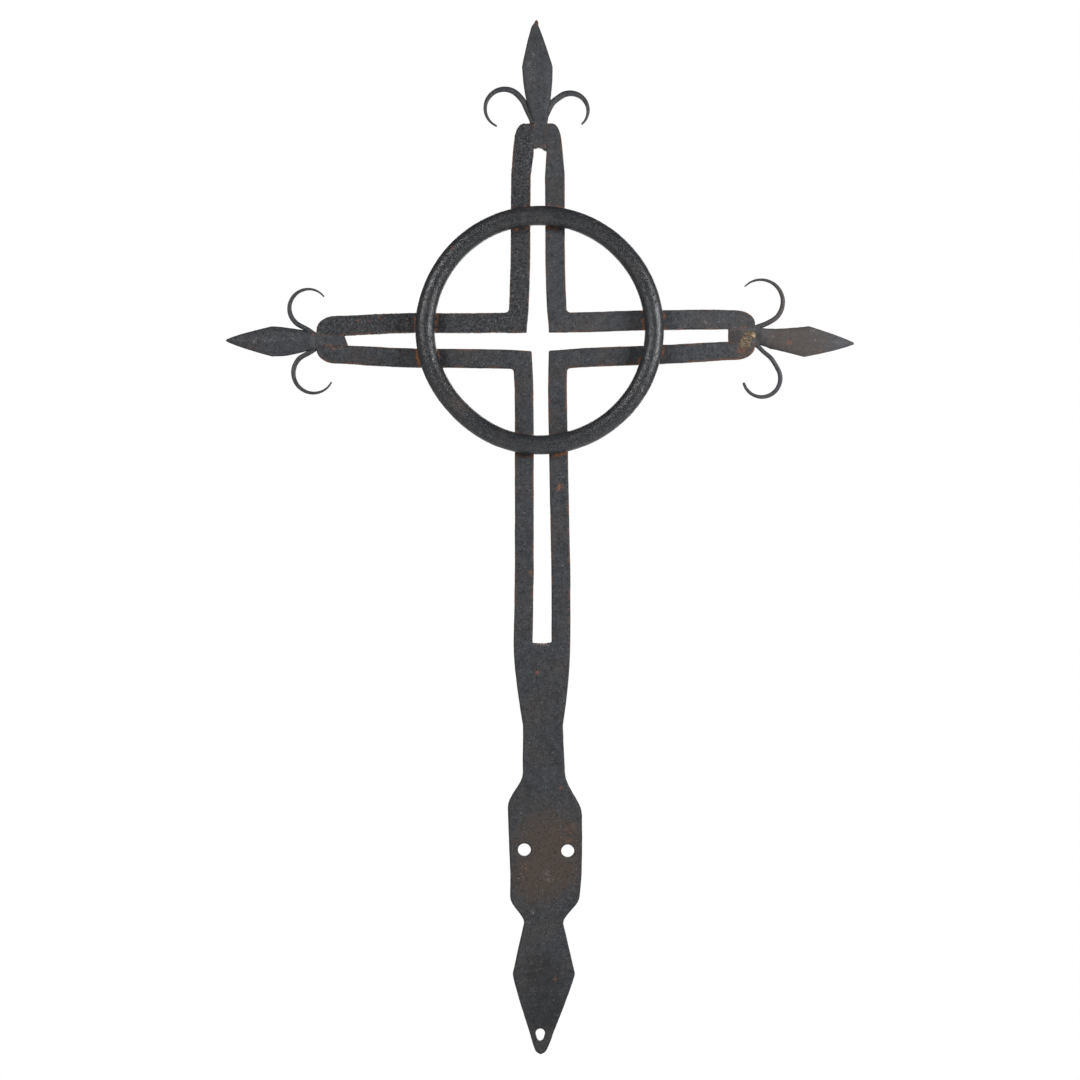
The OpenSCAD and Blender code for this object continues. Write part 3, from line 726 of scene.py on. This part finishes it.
class CROSS_OT_spearheads(Operator):
    """Draws out the three spearheads"""

    bl_idname = "iron_cross.spearheads"
    bl_label = "Spearheads"

    def execute(self, context):
        sizes, colours = context.scene.cross_sizes, context.scene.cross_colours
        self.top(sizes, colours)
        self.left(sizes, colours)
        self.right(sizes, colours)
        return {"FINISHED"}

    def top(self, sizes, colours):
        """Ridged a little left of its middle, with a hooked and rusty point."""
        piece = blade_copy("top_spearhead", "spearhead_top", sizes)
        low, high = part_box("top_spearhead")
        start = Vector((-6.2 * MM, low.y, high.z - 64 * MM))
        end = Vector((-8.8 * MM, low.y, high.z - 8 * MM))
        raise_ridge(piece, start, end, sizes)
        drag(piece, lambda point: point.z > high.z - 1.4 * MM, (1.1 * MM, 0, 0), 3.5 * MM)
        widen(piece, lambda point: point.z < low.z + 17 * MM, (sizes.weld_growth, 0, 0),
              2 * MM)
        # The end of the tongue is burnt back to an arch.
        top_of_end = low.z + 1.5 * MM
        for x, up in BURNT_END:
            drag(piece,
                 lambda point: abs(point.x - x * MM) < 1.2 * MM and point.z < top_of_end,
                 (0, 0, up * MM), 2.6 * MM)
        forge_surface(piece, sizes, 0.6)
        iron = forged_iron(
            "top_spearhead_iron", colours, seed=5, brown=0.1, lightness=0.52, gloss=0.35,
            pitting=0.3, edge_rust=0.4, glints=1,
            rust_at=((-8, high.z / MM - 2, 3.5), (-8, low.z / MM + 1, 3),
                     (-4.6, low.z / MM + 1.6, 3), (-1.4, low.z / MM + 1.2, 3),
                     (-9.6, 534, 2), (-9.4, 530, 1.6)),
            rubs_and_glints_at=((-12, high.z / MM - 33, 3), (-11, high.z / MM - 38, 3),
                       (-10, high.z / MM - 44, 2.4), (-9, high.z / MM - 26, 2)))
        hand_over(piece, "top_spearhead", iron)

    def left(self, sizes, colours):
        """Flatter, with painted glints along its ridge and rust along its lower edge."""
        piece = blade_copy("left_spearhead", "spearhead_left", sizes)
        low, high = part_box("left_spearhead")
        height = (low.z + high.z) / 2
        start = Vector((low.x + 42 * MM, low.y, height))
        end = Vector((low.x + 8 * MM, low.y, height))
        raise_ridge(piece, start, end, sizes)
        widen(piece, lambda point: point.x > high.x - 19 * MM, (0, 0, sizes.weld_growth),
              2 * MM)
        spread_neck(piece, Vector((low.x + 67.6 * MM, 0, 375.5 * MM)), 1.4, 1.4)
        forge_surface(piece, sizes, 0.8)
        iron = forged_iron(
            "left_spearhead_iron", colours, seed=6, brown=0.1, lightness=0.58, gloss=0.4,
            pitting=0.5, edge_rust=0.6, glints=1.3,
            rust_at=((-172, 381, 2.4), (-163, 371, 2.4), (-158, 371, 2.4), (-216, 369, 3)),
            # These lighter places along the ridge paint glints.
            rubs_and_glints_at=((-214, 375.5, 3), (-208, 376, 3.4), (-201, 376.5, 3),
                       (-186, 378, 2.4)))
        hand_over(piece, "left_spearhead", iron)

    def right(self, sizes, colours):
        """Browned by the brazing heat, with a dished neck."""
        piece = blade_copy("right_spearhead", "spearhead_right", sizes)
        low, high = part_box("right_spearhead")
        neck = Vector((high.x - 62 * MM, low.y, (low.z + high.z) / 2 + 1 * MM))
        drag(piece, close_to(neck, 2.4 * MM), (0, 1.3 * MM, 0), 8 * MM)
        start = Vector((high.x - 46 * MM, low.y, 376 * MM))
        end = Vector((high.x - 8 * MM, low.y, 374 * MM))
        raise_ridge(piece, start, end, sizes)
        widen(piece, lambda point: point.x < low.x + 18 * MM, (0, 0, 1.6 * sizes.weld_growth),
              2 * MM)
        spread_neck(piece, Vector((high.x - 73.4 * MM, 0, 377.5 * MM)), 3, 2.4)
        forge_surface(piece, sizes, 0.8)
        iron = forged_iron(
            "right_spearhead_iron", colours, seed=7, brown=0.25, lightness=1.15, gloss=0.3,
            pitting=0.2, edge_rust=0.6, glints=0.7,
            rust_at=((179, 374, 2.4), (202, 366, 2.4), (222, 373, 2.4)),
            rubs_and_glints_at=((166, 378, 2), (196, 383, 2)),
            brown_at=((182, 375, 34), (140, 378, 9)),
            # The dark places round x 160 paint the shade of the dished neck, and the one at x 139
            # darkens the tongue.
            dark_at=((160, 374, 5), (165, 370, 4), (157, 378, 4), (139, 378, 8)),
            stain=0.6)
        hand_over(piece, "right_spearhead", iron)


# ---- scrolls --------------------------------------------------------------------------

def curve_point(before, first, second, after, share):
    """A point between first and second on the smooth curve through all four."""
    return 0.5 * (2 * first + (second - before) * share
                  + (2 * before - 5 * first + 4 * second - after) * share ** 2
                  + (3 * first - before - 3 * second + after) * share ** 3)


def smooth_line(points, steps):
    """The smooth curve through a list of points, in that many steps between two."""
    last = len(points) - 1
    line = []
    for number in range(last):
        neighbours = (points[max(number - 1, 0)], points[number], points[number + 1],
                      points[min(number + 2, last)])
        line += [curve_point(*neighbours, step / steps) for step in range(steps)]
    return line + [points[last]]


def scroll_line(arm, root, centre, radius, first_angle, last_angle):
    """The route of a scroll as points in the plane of the cross, from its root."""
    outwards, across = ARMS[arm]
    points = list(root)
    for number in range(CURL_POINTS + 1):
        angle = math.radians(first_angle + (last_angle - first_angle) * number / CURL_POINTS)
        points.append((centre[0] + radius * math.cos(angle),
                       centre[1] + radius * math.sin(angle)))
    places = [(outwards * out + across * aside) * MM for out, aside in points]
    return smooth_line(places, STEPS_BETWEEN_POINTS)


def heading(step):
    """The turn about Y that points +Z along a step."""
    return math.atan2(step.x, step.z)


def draw_wire(name, line, root_width, tip_width):
    """Extrudes a round section along a line, turning it and drawing it thinner."""
    last = len(line) - 1
    facing = heading(line[1] - line[0])
    put_down()
    bpy.ops.mesh.primitive_circle_add(
        vertices=WIRE_SIDES, radius=root_width / 2, fill_type="NGON",
        location=line[0], rotation=(0, facing, 0))
    piece = bpy.context.object
    piece.name = name
    bpy.ops.object.mode_set(mode="EDIT")
    bpy.ops.mesh.select_all(action="SELECT")
    width = root_width
    for number in range(1, last + 1):
        here = line[number]
        step = here - line[number - 1]
        bpy.ops.mesh.extrude_region_move(TRANSFORM_OT_translate={"value": step})
        ahead = heading(line[min(number + 1, last)] - line[number - 1])
        turn = math.remainder(ahead - facing, math.tau)
        # With no window the turn comes out the other way round.
        bpy.ops.transform.rotate(value=-turn, orient_axis="Y", orient_type="GLOBAL",
                                 center_override=here)
        facing = ahead
        wanted = root_width + (tip_width - root_width) * (number / last) ** 1.25
        wanted *= 1 + BELLY * math.sin(math.pi * number / last)
        share = wanted / width
        bpy.ops.transform.resize(value=(share, share, share), center_override=here)
        width = wanted
    blunt_end(line[last], line[last] - line[last - 1], width)
    bpy.ops.mesh.select_all(action="SELECT")
    bpy.ops.mesh.normals_make_consistent(inside=False)
    bpy.ops.object.mode_set(mode="OBJECT")
    bpy.ops.object.transform_apply(location=True, rotation=True, scale=True)
    return piece


def blunt_end(tip, step, width):
    """Rounds off the tip of a wire."""
    onwards = step.normalized() * width * 0.3
    bpy.ops.mesh.extrude_region_move(TRANSFORM_OT_translate={"value": onwards})
    bpy.ops.transform.resize(value=(0.55, 0.55, 0.55), center_override=tip + onwards)


def set_in_place(piece, node, arm, side, past):
    """Moves a scroll to the far corner of its CAD node, and a little past it."""
    outwards, across = ARMS[arm]
    low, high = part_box(node)
    corners = [point.co for point in piece.data.vertices]
    move = Vector((0, (low.y + high.y) / 2, 0))
    for direction in (outwards, across * side):
        reached = max(corner.dot(direction) for corner in corners)
        wanted = max(low.dot(direction), high.dot(direction))
        move += direction * (wanted - reached)
    move += (outwards * past[0] + across * side * past[1]) * MM
    pick_up(piece)
    bpy.ops.transform.translate(value=move)


class CROSS_OT_scrolls(Operator):
    """Draws the six scrolls as tapered wires and curls them"""

    bl_idname = "iron_cross.scrolls"
    bl_label = "Scrolls"

    def execute(self, context):
        sizes, colours = context.scene.cross_sizes, context.scene.cross_colours
        irons = {
            "top": forged_iron(
                "top_scroll_iron", colours, seed=8, brown=0.4, lightness=0.56, gloss=0.7,
                pitting=0.3, edge_rust=0.2),
            "left": forged_iron(
                "left_scroll_iron", colours, seed=10, brown=0.2, lightness=0.6, gloss=0.7,
                pitting=0.3, edge_rust=0.2),
            "right": forged_iron(
                "right_scroll_iron", colours, seed=11, brown=0.5, lightness=0.6, gloss=0.6,
                pitting=0.3, edge_rust=0.2, rust_at=((180, 397, 2.5),)),
        }
        for node, scroll in SCROLLS.items():
            arm, side, root, centre, radius, start, end, root_width, tip_width, past = scroll
            line = scroll_line(arm, root, centre, radius, start, end)
            piece = draw_wire(node.replace("scroll", "curl"), line,
                              root_width * MM, tip_width * MM)
            set_in_place(piece, node, arm, side, past)
            pick_up(piece)
            bpy.ops.object.transform_apply(location=True, rotation=True, scale=True)
            apply_modifier(piece, "SUBSURF", levels=2, render_levels=2)
            hammer(piece, 0.4 * sizes.dent_width, 0.5 * sizes.dent_depth)
            hand_over(piece, node, irons[arm])
        return {"FINISHED"}


# ---- repair ---------------------------------------------------------------------------

class CROSS_OT_repair(Operator):
    """Runs the brazing brass over the joint of the right arm"""

    bl_idname = "iron_cross.repair"
    bl_label = "Brass Repair"

    def execute(self, context):
        sizes, colours = context.scene.cross_sizes, context.scene.cross_colours
        low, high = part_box("brass_repair")
        centre = Vector(((low.x + high.x) / 2, high.y, (low.z + high.z) / 2))
        put_down()
        bpy.ops.mesh.primitive_uv_sphere_add(
            segments=72, ring_count=36, radius=(high.x - low.x) / 2, location=centre,
            rotation=(math.pi / 2, 0, 0))
        piece = bpy.context.object
        piece.name = "brazing_run"
        bpy.ops.object.transform_apply(location=True, rotation=True, scale=True)
        bpy.ops.object.mode_set(mode="EDIT")
        bpy.ops.mesh.select_all(action="SELECT")
        flatter = 1.3 * (high.y - low.y) / (high.x - low.x) * 2
        bpy.ops.transform.resize(value=(1, flatter, 1.2), center_override=centre)
        bpy.ops.mesh.bisect(plane_co=centre + Vector((0, 0.3 * MM, 0)), plane_no=(0, 1, 0),
                            clear_outer=True, use_fill=True)
        bpy.ops.object.mode_set(mode="OBJECT")
        apply_modifier(piece, "REMESH", mode="VOXEL", voxel_size=0.2 * MM)
        face = centre + Vector((0, low.y - high.y, 0))
        for x, z, move, reach in BRASS_PULLS:
            place = centre + Vector((x, 0, z)) * MM
            drag(piece, close_to(place, 1.6 * MM), Vector(move) * MM, reach * MM)
        drag(piece, close_to(face + Vector((0.8, 0, 0.4)) * MM, 1.1 * MM),
             (0, 1.1 * MM, 0), 1.9 * MM)
        hammer(piece, 0.22 * sizes.dent_width, 0.9 * sizes.dent_depth)
        hand_over(piece, "brass_repair", brazing_brass(colours))
        return {"FINISHED"}


# ---- studio ---------------------------------------------------------------------------

def soft_box(name, place, target, width, power):
    """A large soft light that faces a place."""
    put_down()
    turn = (target - place).to_track_quat("-Z", "Y").to_euler()
    bpy.ops.object.light_add(type="AREA", location=place, rotation=turn)
    lamp = bpy.context.object
    lamp.name = name
    lamp.data.shape = "SQUARE"
    lamp.data.size = width
    lamp.data.energy = power


def white_room(scene):
    """A white room to look at, which lights the iron only a little."""
    world = bpy.data.worlds.new("white_room")
    scene.world = world
    world.use_nodes = True
    tree = world.node_tree
    tree.nodes.clear()
    seen = tree.nodes.new("ShaderNodeBackground")
    seen.inputs["Color"].default_value = (1, 1, 1, 1)
    dim = tree.nodes.new("ShaderNodeBackground")
    dim.inputs["Color"].default_value = (0.94, 0.97, 1, 1)
    dim.inputs["Strength"].default_value = ROOM_LIGHT
    ray = tree.nodes.new("ShaderNodeLightPath")
    mix = tree.nodes.new("ShaderNodeMixShader")
    output = tree.nodes.new("ShaderNodeOutputWorld")
    tree.links.new(ray.outputs["Is Camera Ray"], mix.inputs[0])
    tree.links.new(dim.outputs[0], mix.inputs[1])
    tree.links.new(seen.outputs[0], mix.inputs[2])
    tree.links.new(mix.outputs[0], output.inputs[0])


def pale_floor(colours, height):
    """A plain pale floor below the cross, which looks as white as the room."""
    put_down()
    bpy.ops.mesh.primitive_plane_add(size=7, location=(0, 0, height))
    floor = bpy.context.object
    floor.name = "floor"
    material = bpy.data.materials.new("pale_floor")
    material.use_nodes = True
    tree = material.node_tree
    tree.nodes.clear()
    matt = tree.nodes.new("ShaderNodeBsdfDiffuse")
    matt.inputs["Color"].default_value = solid(colours.floor)
    white = tree.nodes.new("ShaderNodeEmission")
    ray = tree.nodes.new("ShaderNodeLightPath")
    mix = tree.nodes.new("ShaderNodeMixShader")
    output = tree.nodes.new("ShaderNodeOutputMaterial")
    tree.links.new(ray.outputs["Is Camera Ray"], mix.inputs[0])
    tree.links.new(matt.outputs[0], mix.inputs[1])
    tree.links.new(white.outputs[0], mix.inputs[2])
    tree.links.new(mix.outputs[0], output.inputs[0])
    floor.data.materials.append(material)


class CROSS_OT_studio(Operator):
    """Sets up the floor, the soft lights and the camera"""

    bl_idname = "iron_cross.studio"
    bl_label = "Studio"

    def execute(self, context):
        scene = context.scene
        sizes, colours = scene.cross_sizes, scene.cross_colours
        low, high = CAD_BOX
        middle = (low + high) / 2
        white_room(scene)
        pale_floor(colours, low.z - FLOOR_DROP)
        for name, (offset, width, power) in LIGHTS.items():
            soft_box(name, middle + Vector(offset), middle, width, power)
        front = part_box("upper_left_bar")[0].y
        place = Vector((middle.x, front - sizes.viewing_distance, middle.z - CAMERA_DROP))
        put_down()
        bpy.ops.object.camera_add(location=place, rotation=(math.pi / 2, 0, 0))
        camera = context.object
        camera.name = "camera"
        camera.data.angle = 2 * math.atan(sizes.view_width / 2 / sizes.viewing_distance)
        camera.data.clip_end = 50
        scene.camera = camera
        scene.view_settings.view_transform = "Standard"
        scene.view_settings.look = "None"
        return {"FINISHED"}


# ---- add-on ---------------------------------------------------------------------------

STEPS = (CROSS_OT_flat_bars, CROSS_OT_ring, CROSS_OT_spearheads, CROSS_OT_scrolls,
         CROSS_OT_repair, CROSS_OT_studio)


class CROSS_PT_sidebar(Panel):
    """Lists the steps and their settings"""

    bl_idname = "CROSS_PT_sidebar"
    bl_label = "Wrought Iron Cross"
    bl_space_type = "VIEW_3D"
    bl_region_type = "UI"
    bl_category = "Iron Cross"

    def draw(self, context):
        for group in (context.scene.cross_sizes, context.scene.cross_colours):
            column = self.layout.column()
            for name in type(group).__annotations__:
                column.prop(group, name)
        for step in STEPS:
            self.layout.operator(step.bl_idname)


CLASSES = (CrossSizes, CrossColours, *STEPS, CROSS_PT_sidebar)


def register():
    for each in CLASSES:
        bpy.utils.register_class(each)
    bpy.types.Scene.cross_sizes = PointerProperty(type=CrossSizes)
    bpy.types.Scene.cross_colours = PointerProperty(type=CrossColours)


def unregister():
    del bpy.types.Scene.cross_colours
    del bpy.types.Scene.cross_sizes
    for each in reversed(CLASSES):
        bpy.utils.unregister_class(each)


def main():
    register()
    bpy.ops.iron_cross.flat_bars()
    bpy.ops.iron_cross.ring()
    bpy.ops.iron_cross.spearheads()
    bpy.ops.iron_cross.scrolls()
    bpy.ops.iron_cross.repair()
    bpy.ops.iron_cross.studio()


if __name__ == "__main__":
    main()
